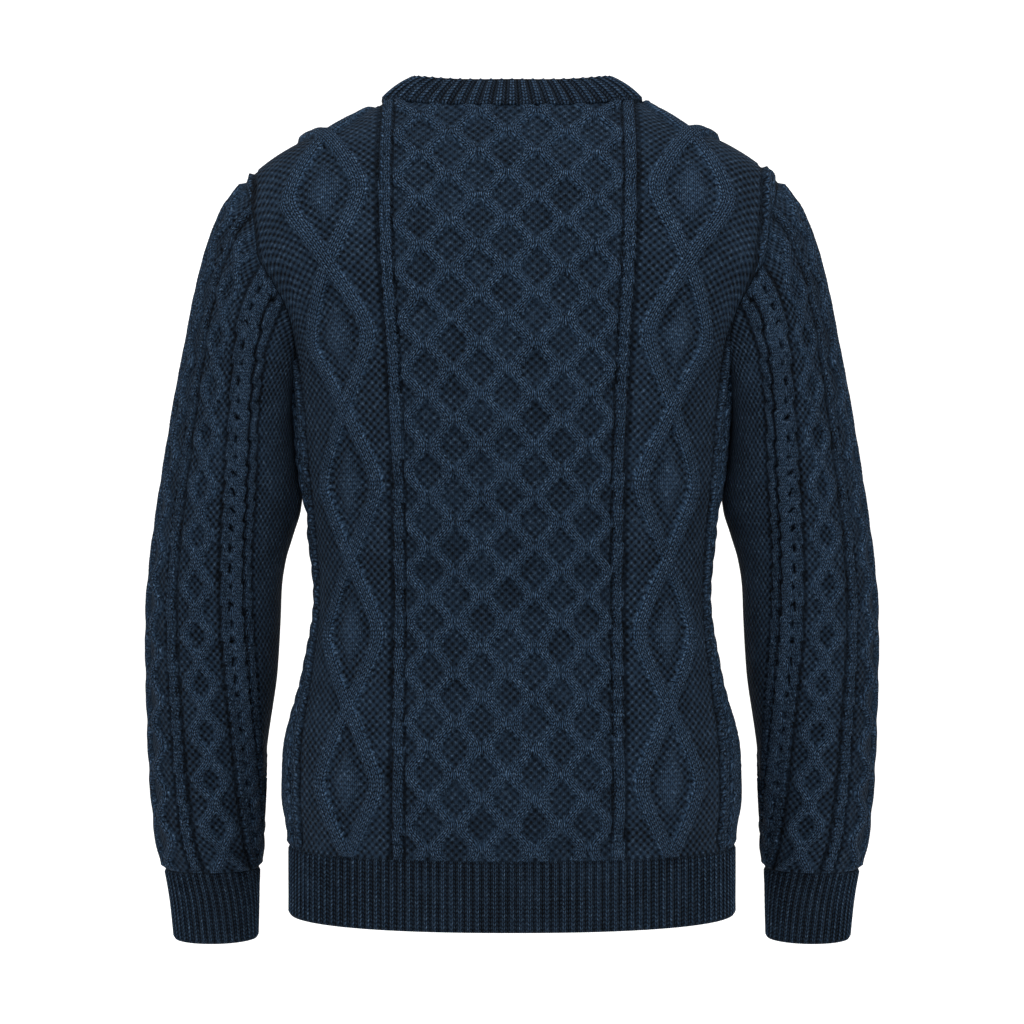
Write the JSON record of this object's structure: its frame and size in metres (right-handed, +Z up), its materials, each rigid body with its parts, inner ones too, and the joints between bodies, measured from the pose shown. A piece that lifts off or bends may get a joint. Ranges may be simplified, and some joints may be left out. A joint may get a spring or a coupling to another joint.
{
  "type": "aran sweater",
  "caption": "Worn crew-neck aran sweater with set-in sleeves, a honeycomb centre panel, diamond cables, and ribbed neckband, hem and cuffs.",
  "frame": {"origin": "middle of the neck opening, level with the points where the shoulder seams meet the neckband, where the wearer's neck and shoulders carry it", "axes": "+Z up along the wearer's neck, -Y the front, +X the wearer's left"},
  "size_m": [0.592, 0.234, 0.7062],
  "materials": {
    "navy_wool_knit": "heathered woollen cable knit, matt with a slight nap",
    "navy_wool_rib": "heathered woollen rib knit, matt with a slight nap"
  },
  "bodies": {
    "root": {"back": "navy_wool_knit", "front": "navy_wool_knit", "sleeve_left": "navy_wool_knit", "sleeve_right": "navy_wool_knit", "neckband": "navy_wool_rib", "hem_rib_back": "navy_wool_rib", "hem_rib_front": "navy_wool_rib", "cuff_left": "navy_wool_rib", "cuff_right": "navy_wool_rib"}
  },
  "joints": []
}
